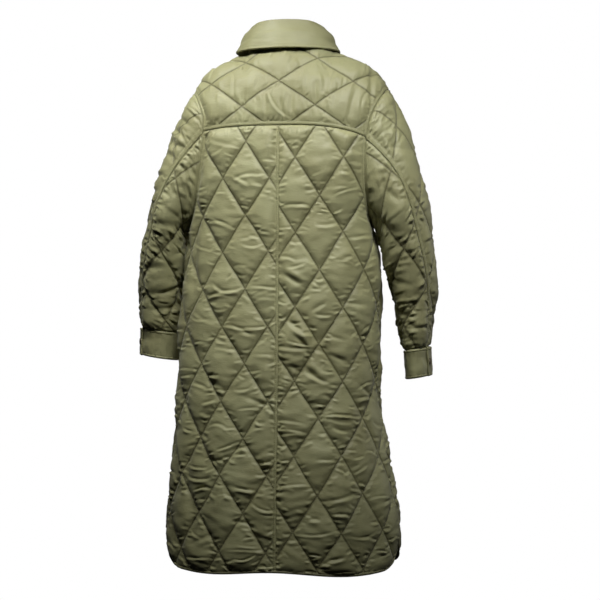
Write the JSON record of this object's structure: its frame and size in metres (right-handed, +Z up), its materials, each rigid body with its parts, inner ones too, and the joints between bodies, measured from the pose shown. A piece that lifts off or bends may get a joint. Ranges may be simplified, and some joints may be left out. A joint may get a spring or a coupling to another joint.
{
  "type": "quilted coat",
  "caption": "Midi-length diamond-quilted coat with turn-down collar, back yoke, two-piece sleeves and rounded side slits, filled out with no wearer.",
  "frame": {"origin": "middle of the neck's base, where a wearer's neck and shoulders hold the coat", "axes": "+Z up, +Y towards the coat's back, +X towards the wearer's left"},
  "size_m": [0.6391, 0.3261, 1.1346],
  "materials": {
    "quilted_cloth": "quilted nylon, soft sheen",
    "plain_cloth": "plain nylon, soft sheen",
    "binding": "folded nylon tape",
    "stud": "satin"
  },
  "bodies": {
    "root": {"back_left": "quilted_cloth", "back_right": "quilted_cloth", "back_yoke": "quilted_cloth", "bind_back_left": "binding", "bind_back_right": "binding", "bind_front_left": "binding", "bind_front_right": "binding", "collar_fall": "plain_cloth", "collar_stand": "plain_cloth", "cuff_left": "plain_cloth", "cuff_right": "plain_cloth", "front_band": "plain_cloth", "front_left": "quilted_cloth", "front_right": "quilted_cloth", "placket_left": "plain_cloth", "placket_right": "plain_cloth", "sleeve_under_left": "quilted_cloth", "sleeve_under_right": "quilted_cloth", "sleeve_upper_left": "quilted_cloth", "sleeve_upper_right": "quilted_cloth", "stud_1": "stud", "stud_2": "stud", "stud_3": "stud", "stud_4": "stud", "stud_5": "stud", "stud_6": "stud", "stud_cuff_left": "stud", "stud_cuff_right": "stud"}
  },
  "joints": []
}
